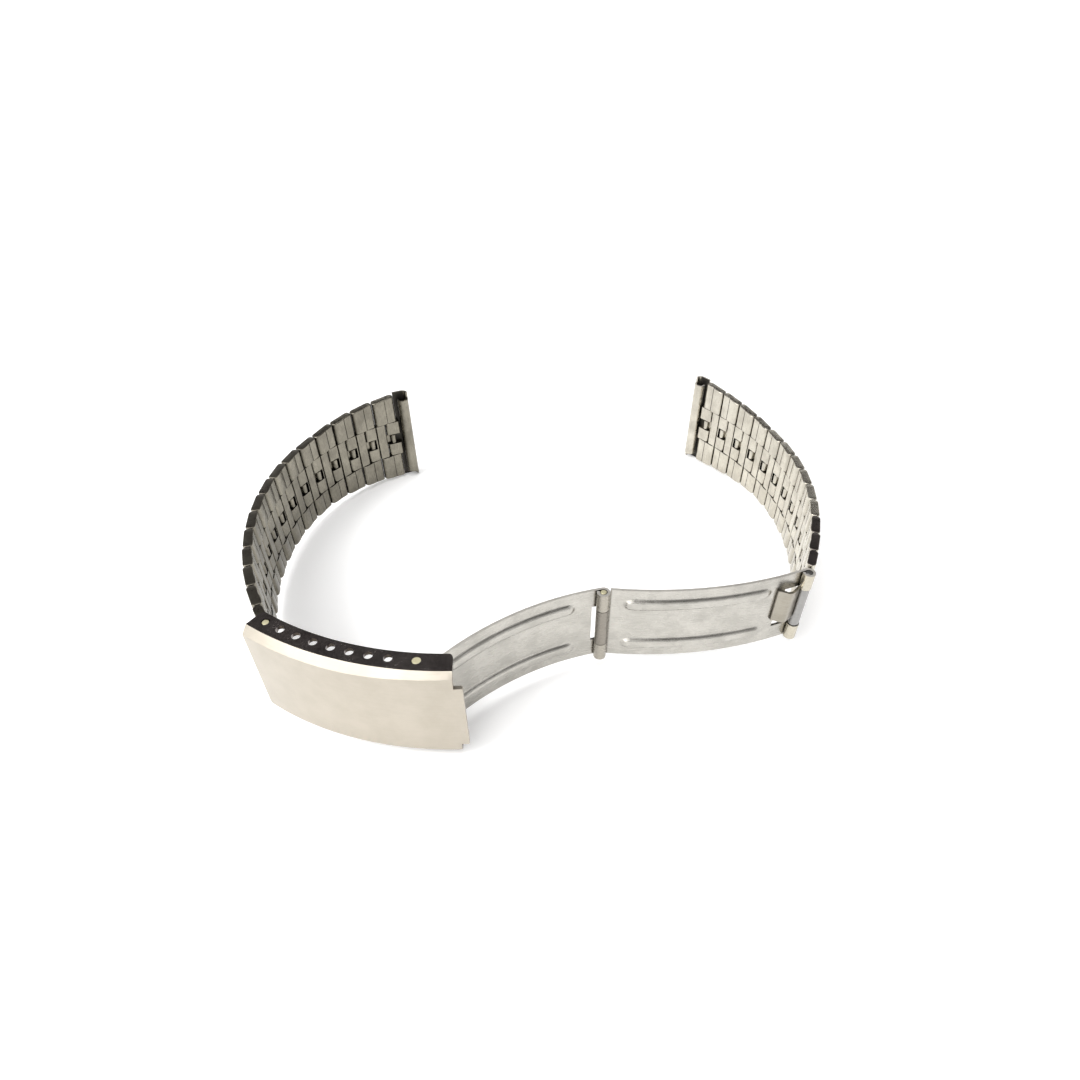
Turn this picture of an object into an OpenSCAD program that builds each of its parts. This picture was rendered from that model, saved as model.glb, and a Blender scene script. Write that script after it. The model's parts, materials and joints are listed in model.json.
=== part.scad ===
// Metal watch bracelet: two bands of folded links on a clasp with two folding blades.
// It stands on its edge, opened out, and every hinge pin runs along Z.
// All lengths are millimetres and all angles are degrees.

/* [Band] */
// Width of the band beside the clasp
band_w = 16; // [14:0.5:17]
// Width of the band at the watch
lug_w = 20; // [18:0.5:22]
// Thickness of a folded link
link_t = 1.5; // [1.4:0.1:1.8]
// Distance from one link hinge to the next
pitch = 4.8; // [4.7:0.1:5.4]
// Width of the middle row of bars
mid_w = 7.8; // [7:0.2:8.6]
// Full links between the clasp cover and the left end piece
left_links = 14; // [9:1:15]
// Full links between the long blade and the right end piece
right_links = 12; // [9:1:13]
// Links over which the band widens towards the watch
taper_links = 5; // [3:1:6]
// Thickness of the sheet that the links are folded from
link_wall = 0.2; // [0.15:0.05:0.25]
// Length of the wide middle bar that holds a hinge pin
knuckle_len = 2.55; // [2.4:0.05:2.7]
// Gap between neighbouring links
link_gap = 0.15; // [0.1:0.05:0.25]
// Radius of a link pin
link_pin_r = 0.3; // [0.2:0.02:0.32]
// Height that a bulged panel stands over the flat one
bulge = 0.12; // [0.06:0.02:0.2]

/* [Clasp cover] */
// Outer width of the cover
cover_w = 18.6; // [18.4:0.2:20]
// Thickness of the cover's side flanges
flange_t = 0.6; // [0.4:0.1:0.7]
// Radius of the arc on which the adjusting holes lie
hole_arc_r = 50; // [44:1:60]
// Adjusting holes in each flange
hole_count = 8; // [4:1:8]
// Distance from one adjusting hole to the next
hole_step = 2.85; // [2.7:0.05:3]
// Radius of an adjusting hole
hole_r = 0.65; // [0.6:0.05:0.7]
// Distance from the last adjusting hole to the hinge pin
hinge_step = 4; // [3.6:0.1:4.5]
// Distance from the hole line out to the cover's face
face_out = 2.85; // [2.6:0.05:3.2]
// Distance from the hole line in to the flanges' free edge
flange_in = 1.4; // [1.2:0.1:1.8]
// Thickness of the cover's face
face_t = 0.65; // [0.5:0.05:0.8]
// Depth of the polished bevel, across the face
bevel_z = 1.3; // [0.9:0.1:1.6]
// Depth of the polished bevel, towards the face
bevel_r = 1.1; // [0.8:0.1:1.3]
// Length of the cover past the first hole
first_end = 2; // [1.6:0.1:2.6]
// Length of the cover past the hinge pin
hinge_end = 5.05; // [4.4:0.1:6]
// Length of the tongue past the cover's end
tongue_len = 1.2; // [1:0.05:2.2]
// Width of the tongue
tongue_w = 13.2; // [10:0.2:14]

/* [Blades] */
// Width of both blades
blade_w = 15; // [14.4:0.1:17]
// Thickness of the blade sheet
blade_t = 0.45; // [0.35:0.05:0.55]
// Radius of the three blade pins
blade_pin_r = 0.5; // [0.4:0.05:0.55]
// Running clearance round a pin, on the radius
pin_play = 0.07; // [0.04:0.01:0.1]
// Hinge distance of the short blade
blade_1_len = 31; // [28:0.5:34]
// Hinge distance of the long blade
blade_2_len = 34.2; // [32:0.2:36]
// Radius of the short blade's curve
blade_1_r = 46; // [42:1:54]
// Radius of the long blade's curve
blade_2_r = 65; // [58:1:75]
// Height of the pressed ribs
rib_h = 0.5; // [0.25:0.05:0.5]
// Distance from the centre line to a rib
rib_z = 4.5; // [4.4:0.1:4.9]
// Width of the catch strap
catch_w = 6.4; // [5:0.2:6.6]
// Height of the catch strap's crest over the blade
catch_h = 1.3; // [0.9:0.1:1.5]

/* [Photographed pose] */
// Direction of the short blade
blade_1_dir = 34.4; // [20:0.2:45]
// Direction of the long blade
blade_2_dir = 12.2; // [4:0.2:20]
// Direction of the left connector
left_dir = 127; // [120:1:140]
// Direction of the right connector
right_dir = 72.6; // [60:0.2:80]
// Bend of the left band, next to the clasp, half way and at the watch
left_bends = [4.7, 6.1, 9.8];
// Bend of the right band, next to the clasp, half way and at the watch
right_bends = [2.8, 6, 4];

/* [Output] */

/* [Hidden] */
$fn = 48;
eps = 0.01;

// Colours as photographed
ivory = [0.82, 0.79, 0.71];
steel = [0.66, 0.64, 0.58];
shade = [0.50, 0.48, 0.43];
silver = [0.76, 0.77, 0.77];
gold = [0.72, 0.64, 0.42];

// Where the cover hinge pin stands from the middle of the part's box
hinge_at = [-13.8, -40.88];

// Links
half_t = link_t / 2;
row_gap = 0.1;
pin_y = -0.15;
shell_end = 1.25;
shell_start = shell_end + link_gap;
bar_play = 0.025;
bar_end = pitch - knuckle_len / 2 - link_gap - bar_play;
knuckle_x = knuckle_len / 2 + bar_play;
strip_t = 0.3;
strip_y = half_t - link_wall - strip_t;
strip_in = 0.3;
strip_back = 0.25;
strip_side = 0.4;
strip_out = 0.8;
tongue_rise = 0.4;
tongue_foot = 0.5;
tongue_neck = 0.3;
tongue_back = 0.2;
eye_w = 1.9;
eye_r = 0.6;
eye_play = 0.05;
window_w = eye_w + 0.4;
window_end = 0.8;
window_top = half_t - link_wall - 0.05;
slot_len = 0.45;
slot_play = 0.05;
slot_in = 0.1;
pin_back = 0.05;
pin_fit = 0.01;
seam = 0.1;
seam_share = 0.45;

// Connectors and end pieces
spring_tube_r = 0.95;
left_hinge = 4.2;
right_hinge = 4.05;
connector_seam = 0.7;
connector_play = 0.15;
lug_tube_x = 3.2;
lug_tube_r = 1.15;
lug_bore_r = 0.8;
lug_sheet = 0.3;
lug_in = 0.025;
lug_foot = 0.6;
lug_notch = 1.3;
lug_roll = 290;

// Spring bar at the cover
barrel_r = 0.7;
barrel_bore_r = 0.55;
barrel_half = 7.4;
barrel_play = 0.05;
bar_head_r = 0.5;
bar_stem_r = 0.36;
bar_shoulder_r = 0.62;
bar_tip_r = 0.5;
bar_travel = 0.75;
bar_head = [6.05, 7.15];
crimp_t = 0.2;
spring_r = 0.4;
spring_wire_r = 0.07;
spring_turns = 10;
spring_rings = 8;
spring_sides = 6;

// Clasp
cover_in = cover_w / 2 - flange_t;
face_r = hole_arc_r + face_out;
last_hole = -hinge_step;
first_hole = last_hole - (hole_count - 1) * hole_step;
cover_a = first_hole - first_end;
flange_round = 1.2;
tongue_round = 1.15;
head_r = 0.65;
knuckle_t = blade_t + 0.1;
knuckle_r = blade_pin_r + pin_play + knuckle_t;
sheet_off = blade_pin_r + pin_play + knuckle_t / 2;
roll = 300;
catch_gap = 7.2;
mid_knuckle_w = 7.6;
knuckle_gap = 0.12;
slit = 0.55;
end_knuckle = 3.2;
rib_r = 1.8;
rib_wall = 0.35;
rib_sink = rib_r - rib_h;
// Ends of the ribs from the hinges: short blade, then long blade
rib_ends = [5.2, 5.5, 4.5, 7.5];

function unit(a) = [cos(a), sin(a)];
function arc_angle(s) = s / hole_arc_r * 180 / PI;
// A place on the hole line, s along the cover from the hinge pin
function on_arc(s) = [
    hole_arc_r * sin(arc_angle(s)),
    hole_arc_r * (1 - cos(arc_angle(s)))
];

// Bend at hinge i of a band with n links: a smooth run through three values
function bend(b, i, n) = let (s = i / n)
    b[0] * (1 - s) * (1 - 2 * s) + 4 * b[1] * s * (1 - s) + b[2] * s * (2 * s - 1);
function turned(b, j, n) = j == 0 ? 0 : bend(b, j - 1, n) + turned(b, j - 1, n);
// Direction of piece j: 0 is the connector, n + 1 the end piece
function left_heading(j) = left_dir - turned(left_bends, j, left_links);
function right_heading(j) = right_dir + turned(right_bends, j, right_links);
// Clasp-side hinge of piece j
function left_place(j) = j == 0 ? on_arc(first_hole)
    : left_place(j - 1) + (j == 1 ? left_hinge : pitch) * unit(left_heading(j - 1));
function right_place(j) = j == 0 ? end_place
    : right_place(j - 1) + (j == 1 ? right_hinge : pitch) * unit(right_heading(j - 1));

middle_place = blade_1_len * unit(blade_1_dir);
end_place = middle_place + blade_2_len * unit(blade_2_dir);

// Half width of the band k gaps away from the end piece
function half_w(k) = (band_w + (lug_w - band_w) * max(0, 1 - k / taper_links)) / 2;

// Centre of a blade's curve, from its distances to both hinges
function curve_x(len, d1, d2) = (d1 * d1 - d2 * d2 + len * len) / (2 * len);
function curve_centre(len, d1, d2, side) = let (x = curve_x(len, d1, d2))
    [x, side * sqrt(d1 * d1 - x * x)];
blade_1_c = curve_centre(blade_1_len, blade_1_r + sheet_off, blade_1_r - sheet_off, -1);
blade_2_c = curve_centre(blade_2_len, blade_2_r + sheet_off, blade_2_r + sheet_off, 1);
function angle_of(v) = atan2(v[1], v[0]);

// Frames
module at_hinge() {
    translate([hinge_at[0], hinge_at[1], lug_w / 2]) children();
}

module at_left(j) {
    p = left_place(j);
    at_hinge() translate([p[0], p[1], 0]) rotate([0, 0, left_heading(j)]) children();
}

module at_right(j) {
    p = right_place(j);
    at_hinge() translate([p[0], p[1], 0]) rotate([0, 0, right_heading(j)])
        rotate([180, 0, 0]) children();
}

module at_blade_1() {
    at_hinge() rotate([0, 0, blade_1_dir]) children();
}

module at_blade_2() {
    at_hinge() translate([middle_place[0], middle_place[1], 0])
        rotate([0, 0, blade_2_dir]) children();
}

// General forms
module both_sides() {
    children();
    mirror([0, 0, 1]) children();
}

// A block from z0 to z1 over a rectangle
module block(x0, x1, y0, y1, z0, z1) {
    translate([x0, y0, z0]) cube([x1 - x0, y1 - y0, z1 - z0]);
}

// A flat bar with round ends, in section
module bar_2d(x0, x1, r) {
    translate([x0 + r, -r]) square([x1 - x0 - 2 * r, 2 * r]);
    translate([x0 + r, 0]) circle(r = r);
    translate([x1 - r, 0]) circle(r = r);
}

// A bar with one bulged panel on its wrist side, from x0 to x1
module bulge_2d(x0, x1) {
    w = x1 - x0;
    r = (w * w / 4 + bulge * bulge) / (2 * bulge);
    intersection() {
        translate([(x0 + x1) / 2, r - half_t - bulge]) circle(r = r, $fn = 96);
        translate([x0, -half_t - bulge]) square([w, bulge + link_wall / 2]);
    }
}

// A prism over an outline drawn in X and Z
module side_prism(points) {
    rotate([90, 0, 0]) linear_extrude(height = 4 * link_t, center = true) polygon(points);
}

// A piece of rolled or curved sheet about Z
module sheet_arc(r0, r1, a0, a1, z0, z1) {
    rotate([0, 0, a0]) rotate_extrude(angle = a1 - a0, $fn = 96)
        translate([r0, z0]) square([r1 - r0, z1 - z0]);
}

// Links
// One folded shell of an outer row, from x0 to x1, with its closed end outside
module row_shell(x0, x1, w0, w1) {
    z0 = mid_w / 2 + row_gap;
    w = link_wall;
    s = x1 - seam_share * (x1 - x0);
    difference() {
        intersection() {
            linear_extrude(height = lug_w) {
                bar_2d(x0, x1, half_t);
                bulge_2d(x0 + half_t / 2, s - seam / 2);
            }
            side_prism([[x0, z0], [x1, z0], [x1, w1], [x0, w0]]);
        }
        intersection() {
            linear_extrude(height = lug_w) bar_2d(x0 + w, x1 - w, half_t - w);
            side_prism([[x0, z0 - 1], [x1, z0 - 1], [x1, w1 - w], [x0, w0 - w]]);
        }
        block(s - seam / 2, s + seam / 2, -link_t, w / 2 - half_t, 0, lug_w);
    }
}

// The sheet strip that carries the rows of one link, with the eye at its end
module strip(x0, x1, hinge, w, wide0, wide1) {
    difference() {
        union() {
            block(x0, x1, strip_y, strip_y + strip_t, -w, w);
            both_sides() block(wide0, wide1, strip_y, strip_y + strip_t,
                mid_w / 2 + 2 * row_gap, w);
            translate([hinge, 0, -eye_w / 2]) linear_extrude(height = eye_w) {
                tongue_2d(x1 - hinge);
                translate([0, pin_y]) circle(r = eye_r);
            }
        }
        translate([hinge, pin_y, -eye_w]) cylinder(r = link_pin_r + eye_play, h = 2 * eye_w);
    }
}

// The tongue steps down from the strip to the eye
module tongue_2d(x) {
    y = strip_y;
    t = strip_t;
    low = y + t - tongue_rise;
    polygon([[x - tongue_foot, y + t], [x, y + t], [x + tongue_rise, low], [-tongue_back, low],
        [-tongue_back, pin_y], [x + tongue_back, pin_y], [x - tongue_neck, y], [x - tongue_foot, y]]);
}

// The wide bar of the middle row: pin cheeks, and a window for the next eye
module knuckle_cuts() {
    w = link_wall;
    inner = mid_w / 2 - w;
    both_sides() intersection() {
        linear_extrude(height = mid_w) bar_2d(w - knuckle_x, bar_end, half_t - w);
        block(-knuckle_len, knuckle_x - w, -link_t, link_t, window_w / 2 + w, inner);
    }
    block(-knuckle_len, window_end, -link_t, window_top, -window_w / 2, window_w / 2);
    translate([0, pin_y, -mid_w]) cylinder(r = link_pin_r + pin_fit, h = 2 * mid_w);
}

module link_pin() {
    translate([0, pin_y, pin_back - mid_w / 2])
        cylinder(r = link_pin_r, h = mid_w - 2 * pin_back);
}

// Middle row of one link: wide bar at the pin, then a narrow bar open right through
module middle_bars() {
    w = link_wall;
    x0 = -knuckle_x;
    difference() {
        translate([0, 0, -mid_w / 2]) linear_extrude(height = mid_w) bar_2d(x0, bar_end, half_t);
        knuckle_cuts();
        intersection() {
            translate([0, 0, -mid_w]) linear_extrude(height = 2 * mid_w)
                bar_2d(x0, bar_end - w, half_t - w);
            block(knuckle_x, bar_end, -link_t, link_t, -mid_w, mid_w);
        }
        block(knuckle_x - seam / 2, knuckle_x + seam / 2, -link_t, w / 2 - half_t, -mid_w, mid_w);
        block(bar_end - slot_len, bar_end + 1, pin_y - slot_in, half_t - w + eps,
            -eye_w / 2 - slot_play, eye_w / 2 + slot_play);
    }
}

// One link, k gaps away from the end piece, along +X from its own pin
module link(k) {
    both_sides() row_shell(shell_start, pitch + shell_end, half_w(k + 1), half_w(k));
    middle_bars();
    strip(shell_start + strip_in, bar_end - strip_back, pitch, half_w(k + 1) - strip_side,
        shell_start + strip_in, pitch + strip_out);
    link_pin();
}

module left_link(j) color(shade) at_left(j) link(left_links + 1 - j);

module right_link(j) color(steel) at_right(j) link(right_links + 1 - j);

// Left connector: a tube round the spring bar, then the first half of a link
module left_connector() color(shade) at_left(0) {
    z0 = mid_w / 2 + row_gap;
    w = link_wall;
    edge = left_hinge + shell_end;
    bar = left_hinge - (pitch - bar_end);
    tube_half = cover_in - connector_play;
    difference() {
        union() {
            translate([0, 0, -tube_half]) cylinder(r = spring_tube_r, h = 2 * tube_half);
            both_sides() translate([0, 0, z0 - 0.05]) linear_extrude(height = band_w / 2 - z0 + 0.05) {
                translate([0, -half_t]) square([edge - half_t, link_t]);
                translate([edge - half_t, 0]) circle(r = half_t);
            }
            translate([0, 0, -z0]) linear_extrude(height = 2 * z0) {
                translate([0, -half_t]) square([bar - half_t, link_t]);
                translate([bar - half_t, 0]) circle(r = half_t);
            }
        }
        translate([0, 0, -cover_w]) cylinder(r = barrel_r + barrel_play, h = 2 * cover_w);
        both_sides() translate([0, 0, z0 - 0.1])
            linear_extrude(height = band_w / 2 - w - z0 + 0.1) {
                translate([spring_tube_r + w, w - half_t])
                    square([edge - half_t - spring_tube_r - w, link_t - 2 * w]);
                translate([edge - half_t, 0]) circle(r = half_t - w);
            }
        translate([0, 0, -z0 - 0.1]) linear_extrude(height = 2 * z0 + 0.2) {
            translate([spring_tube_r + w, w - half_t])
                square([bar - half_t - spring_tube_r - w, link_t - 2 * w]);
            translate([bar - half_t, 0]) circle(r = half_t - w);
        }
        block(bar - slot_len, bar + 1, pin_y - slot_in, half_t - w + eps,
            -eye_w / 2 - slot_play, eye_w / 2 + slot_play);
        both_sides() block(left_hinge - connector_seam - seam, left_hinge - connector_seam,
            -link_t, w / 2 - half_t, z0 - 1, band_w);
    }
    strip(spring_tube_r + w + eye_play, bar - strip_back, left_hinge, band_w / 2 - strip_side,
        spring_tube_r + w + eye_play, left_hinge + strip_out);
}

// Right connector: a short tube on the long blade's end pin, then half a link
module right_connector() color(steel) at_right(0) {
    z0 = mid_w / 2 + row_gap;
    w = link_wall;
    edge = right_hinge + shell_end;
    bar = right_hinge - (pitch - bar_end);
    tube_half = blade_w / 2 - end_knuckle - knuckle_gap;
    back = knuckle_r + 0.2;
    difference() {
        union() {
            translate([0, 0, -tube_half]) {
                cylinder(r = spring_tube_r, h = 2 * tube_half);
                translate([0, -half_t, 0]) cube([back + half_t, link_t, 2 * tube_half]);
            }
            both_sides() translate([0, 0, z0 - 0.05]) linear_extrude(height = band_w / 2 - z0 + 0.05)
                bar_2d(back, edge, half_t);
            translate([0, 0, -z0]) linear_extrude(height = 2 * z0) {
                translate([back, -half_t]) square([bar - half_t - back, link_t]);
                translate([bar - half_t, 0]) circle(r = half_t);
            }
        }
        translate([0, 0, -cover_w])
            cylinder(r = blade_pin_r + pin_play, h = 2 * cover_w);
        both_sides() translate([0, 0, z0 - 0.1])
            linear_extrude(height = band_w / 2 - w - z0 + 0.1)
                bar_2d(back + w, edge - w, half_t - w);
        translate([0, 0, -z0 - 0.1]) linear_extrude(height = 2 * z0 + 0.2) {
            translate([back + w, w - half_t]) square([bar - half_t - back - w, link_t - 2 * w]);
            translate([bar - half_t, 0]) circle(r = half_t - w);
        }
        block(bar - slot_len, bar + 1, pin_y - slot_in, half_t - w + eps,
            -eye_w / 2 - slot_play, eye_w / 2 + slot_play);
        both_sides() block(right_hinge - connector_seam - seam, right_hinge - connector_seam,
            -link_t, w / 2 - half_t, z0 - 1, band_w);
    }
    strip(back + w + strip_in, bar - strip_back, right_hinge, band_w / 2 - strip_side,
        back + w + strip_in, right_hinge + strip_out);
}

// End piece: the last pin's bar, and a plate rolled round the watch's spring bar
module end_piece() {
    w = link_wall;
    y1 = half_t - lug_in;
    y0 = y1 - lug_sheet;
    axis_y = half_t - lug_tube_r;
    lap = 8;
    bar = knuckle_x + seam;
    difference() {
        union() {
            translate([0, 0, -mid_w / 2]) linear_extrude(height = mid_w)
                bar_2d(-knuckle_x, bar, half_t);
            block(lug_foot, shell_start + eps, y0, y1, -mid_w / 2, mid_w / 2);
            block(shell_start, lug_tube_x, y0, y1, -lug_w / 2, lug_w / 2);
            translate([lug_tube_x, axis_y, 0])
                sheet_arc(lug_bore_r, lug_tube_r, 90 - lug_roll, 90 + lap, -lug_w / 2, lug_w / 2);
        }
        both_sides() intersection() {
            linear_extrude(height = mid_w) bar_2d(w - knuckle_x, bar - w, half_t - w);
            block(-knuckle_len, bar, -link_t, y0 - 0.05, window_w / 2 + w, mid_w / 2 - w);
        }
        block(-knuckle_len, window_end, -link_t, window_top, -window_w / 2, window_w / 2);
        translate([0, pin_y, -mid_w]) cylinder(r = link_pin_r + pin_fit, h = 2 * mid_w);
        both_sides() block(lug_tube_x - 2 * lug_tube_r, lug_tube_x + 0.2, -2 * link_t, y0 - 0.05,
            lug_w / 2 - lug_notch, lug_w);
    }
    link_pin();
}

module left_end_piece() color(shade) at_left(left_links + 1) end_piece();

module right_end_piece() color(steel) at_right(right_links + 1) end_piece();

// Spring bar that holds the left connector in one pair of holes
module spring_bar_barrel() color(silver) at_left(0) difference() {
    translate([0, 0, -barrel_half]) cylinder(r = barrel_r, h = 2 * barrel_half);
    translate([0, 0, crimp_t - barrel_half])
        cylinder(r = barrel_bore_r, h = 2 * (barrel_half - crimp_t));
    translate([0, 0, -cover_w]) cylinder(r = bar_stem_r + barrel_play, h = 2 * cover_w);
}

module spring_tip() {
    shoulder = barrel_half + bar_travel + 0.05;
    tip_end = cover_w / 2 - 0.05;
    translate([0, 0, bar_head[0]]) cylinder(r = bar_head_r, h = bar_head[1] - bar_head[0]);
    translate([0, 0, bar_head[1] - eps]) cylinder(r = bar_stem_r, h = shoulder - bar_head[1] + 2 * eps);
    translate([0, 0, shoulder]) cylinder(r = bar_shoulder_r, h = 0.25);
    translate([0, 0, shoulder]) cylinder(r = bar_tip_r, h = tip_end - shoulder);
}

module spring_bar_upper_tip() color(gold) at_left(0) spring_tip();

module spring_bar_lower_tip() color(gold) at_left(0) mirror([0, 0, 1]) spring_tip();

// Coil spring between the two tips, swept ring by ring
module spring_bar_spring() color(silver) at_left(0) {
    steps = spring_turns * spring_rings;
    z0 = -bar_head[0] + spring_wire_r;
    rise = -2 * z0 / steps;
    points = [for (i = [0:steps]) let (a = 360 * i / spring_rings)
        for (k = [0:spring_sides - 1]) let (b = 360 * k / spring_sides,
            r = spring_r + spring_wire_r * cos(b))
            [r * cos(a), r * sin(a), z0 + rise * i + spring_wire_r * sin(b)]];
    m = spring_sides;
    polyhedron(points, concat(
        [for (i = [0:steps - 1], k = [0:m - 1]) let (n = (k + 1) % m)
            each [[i * m + k, i * m + n, (i + 1) * m + k],
                [i * m + n, (i + 1) * m + n, (i + 1) * m + k]]],
        [[for (k = [m - 1:-1:0]) k], [for (k = [0:m - 1]) steps * m + k]]
    ));
}

// Clasp cover
// Section of the cover's face, with its bevels, over radius and height
module face_2d(half) {
    r0 = face_r - bevel_r;
    h = cover_w / 2;
    t = face_t;
    polygon([
        [r0 - 0.5, half], [r0, half], [face_r, half - bevel_z],
        [face_r, bevel_z - half], [r0, -half], [r0 - 0.5, -half],
        [r0 - 0.5, -cover_in], [r0 - 0.35, -cover_in], [face_r - t, -cover_in + 0.95],
        [face_r - t, cover_in - 0.95], [r0 - 0.35, cover_in], [r0 - 0.5, cover_in]
    ]);
}

// Cuts a round corner on the flange's free edge at arc place s, on its far side
module corner_cut(s, side) {
    r = hole_arc_r - flange_in;
    c = flange_round;
    translate([0, hole_arc_r, 0]) rotate([0, 0, arc_angle(s)]) translate([0, -r, 0])
        difference() {
            translate([side > 0 ? -c : -0.5, -c, 0]) square([c + 0.5, c + 0.5]);
            translate([-side * c, -c]) circle(r = c);
        }
}

module clasp_cover() color(ivory) at_hinge() difference() {
    union() {
        translate([0, hole_arc_r, 0]) rotate([0, 0, arc_angle(cover_a) - 90])
            rotate_extrude(angle = arc_angle(hinge_end - cover_a), $fn = 180)
                face_2d(cover_w / 2);
        translate([0, hole_arc_r, 0])
            sheet_arc(face_r - face_t, face_r, arc_angle(hinge_end) - 90 - 0.01,
                arc_angle(hinge_end + tongue_len) - 90, -tongue_w / 2, tongue_w / 2);
        both_sides() translate([0, 0, cover_in]) linear_extrude(height = flange_t) difference() {
            translate([0, hole_arc_r]) intersection() {
                difference() {
                    circle(r = face_r - bevel_r - 0.3, $fn = 180);
                    circle(r = hole_arc_r - flange_in, $fn = 180);
                }
                polygon([[0, 0], 2 * hole_arc_r * unit(arc_angle(cover_a) - 90),
                    2 * hole_arc_r * unit(arc_angle(hinge_end) - 90)]);
            }
            corner_cut(cover_a, -1);
            corner_cut(hinge_end, 1);
        }
    }
    for (i = [0:hole_count - 1]) {
        p = on_arc(first_hole + i * hole_step);
        translate([p[0], p[1], -cover_w]) cylinder(r = hole_r, h = 2 * cover_w);
    }
    translate([0, 0, -cover_w]) cylinder(r = head_r, h = 2 * cover_w);
    both_sides() tongue_corner();
}

// Rounds the tongue's outer corners
module tongue_corner() {
    c = tongue_round;
    translate([0, hole_arc_r, 0]) rotate([0, 0, arc_angle(hinge_end + tongue_len)])
        translate([0, -face_r, tongue_w / 2]) rotate([90, 0, 0])
            linear_extrude(height = 4, center = true) difference() {
                translate([-c, -c]) square([c + 0.5, c + 0.5]);
                translate([-c, -c]) circle(r = c);
            }
}

// Pin through both flanges, its ends spread into heads
module cover_hinge_pin() color(gold) at_hinge() {
    translate([0, 0, -cover_in]) cylinder(r = blade_pin_r, h = 2 * cover_in);
    both_sides() translate([0, 0, cover_in]) cylinder(r = head_r, h = flange_t);
}

// Blades
// A rolled knuckle round the pin at p, starting where the sheet touches it
module knuckle(p, start, way, bore) {
    lap = 12;
    translate([p[0], p[1], 0]) {
        if (way > 0) sheet_arc(bore, knuckle_r, start - lap, start + roll, -blade_w, blade_w);
        else sheet_arc(bore, knuckle_r, start - roll, start + lap, -blade_w, blade_w);
    }
}

// A pressed rib along the curve, raised towards its centre (-1) or away from it (1)
module rib(c, r, a0, a1, side, wall) {
    m = r + side * (blade_t / 2 - rib_sink);
    s = rib_r - wall;
    translate([c[0], c[1], 0]) both_sides() {
        rotate([0, 0, a0]) rotate_extrude(angle = a1 - a0, $fn = 96)
            translate([m, rib_z]) circle(r = s, $fn = 32);
        for (a = [a0, a1]) translate([m * cos(a), m * sin(a), rib_z]) rotate([90, 0, a])
            sphere(r = s - 0.04, $fn = 32);
    }
}

module pressed_sheet(c, r, a0, a1, rib0, rib1, side) {
    difference() {
        union() {
            translate([c[0], c[1], 0])
                sheet_arc(r - blade_t / 2, r + blade_t / 2, a0, a1, -blade_w, blade_w);
            intersection() {
                rib(c, r, rib0, rib1, side, 0);
                translate([c[0], c[1], 0]) sheet_arc(side > 0 ? r : r - 2, side > 0 ? r + 2 : r,
                    a0, a1, -blade_w / 2, blade_w / 2);
            }
        }
        rib(c, r, rib0, rib1, side, rib_wall);
    }
}

// Short blade, from the cover hinge (0, 0) to the middle hinge
module blade_1() color(silver) at_blade_1() {
    c = blade_1_c;
    m = [blade_1_len, 0];
    a0 = angle_of(m - c);
    a1 = angle_of(-c);
    far = (a1 - a0) / blade_1_len;
    difference() {
        union() {
            pressed_sheet(c, blade_1_r, a0, a1, a0 + rib_ends[0] * far, a1 - rib_ends[1] * far, -1);
            knuckle([0, 0], angle_of(c), -1, blade_pin_r + pin_play);
            knuckle(m, angle_of(m - c), -1, blade_pin_r);
        }
        both_sides() block(-3, blade_1_len + 3, -9, 9, blade_w / 2, 2 * blade_w);
        block(-3, 2.3, -4, 4, -catch_gap / 2, catch_gap / 2);
        block(blade_1_len - knuckle_r - slit, blade_1_len + 2, -4, 4,
            -mid_knuckle_w / 2 - knuckle_gap, mid_knuckle_w / 2 + knuckle_gap);
    }
}

module middle_hinge_pin() color(gold) at_blade_2()
    translate([0, 0, -blade_w / 2]) cylinder(r = blade_pin_r, h = blade_w);

// Long blade, from the middle hinge (0, 0) to the end pin, with the catch strap
module blade_2() color(silver) at_blade_2() {
    c = blade_2_c;
    e = [blade_2_len, 0];
    a0 = angle_of(-c);
    a1 = angle_of(e - c);
    far = (a1 - a0) / blade_2_len;
    z = blade_w / 2;
    x0 = blade_2_len - 5.2;
    x1 = blade_2_len - 1.5;
    y0 = sheet_y(x0);
    difference() {
        union() {
            pressed_sheet(c, blade_2_r, a0, a1, a0 + rib_ends[2] * far, a1 - rib_ends[3] * far, 1);
            knuckle([0, 0], angle_of(c), 1, blade_pin_r + pin_play);
            knuckle(e, angle_of(c - e), -1, blade_pin_r);
        }
        both_sides() block(-3, blade_2_len + 3, -9, 9, z, 2 * blade_w);
        both_sides() block(-3, knuckle_r + 0.3, -4, 4, mid_knuckle_w / 2, blade_w);
        block(blade_2_len - knuckle_r - 0.3, blade_2_len + 3, -4, 4,
            -z + end_knuckle, z - end_knuckle);
        block(x0 + 0.4, blade_2_len, -4, 4, -catch_w / 2 - 0.55, catch_w / 2 + 0.55);
    }
    translate([0, 0, -catch_w / 2]) linear_extrude(height = catch_w) catch_2d(x0, x1, y0);
}

function sheet_y(x) = blade_2_c[1] - sqrt(blade_2_r * blade_2_r - pow(x - blade_2_c[0], 2));

// The strap leaves the blade, rises to its crest and comes back with a free lip
module catch_2d(x0, x1, y0) {
    t = blade_t / 2;
    top = y0 - catch_h;
    xm = (x0 + x1) / 2;
    polygon([[x0 - 0.3, y0 + t - 0.02], [x0 + 0.4, y0 + t], [xm - 0.3, top + t], [xm + 0.3, top + t],
        [x1 - 0.1, y0 - 0.1 + t], [x1, y0 - 0.1 - t], [xm + 0.5, top - t], [xm - 0.5, top - t],
        [x0 + 0.2, y0 - t], [x0 - 0.3, y0 - t + 0.05]]);
}

module end_pin() color(gold) at_blade_2()
    translate([blade_2_len, 0, -blade_w / 2]) cylinder(r = blade_pin_r, h = blade_w);

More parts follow.
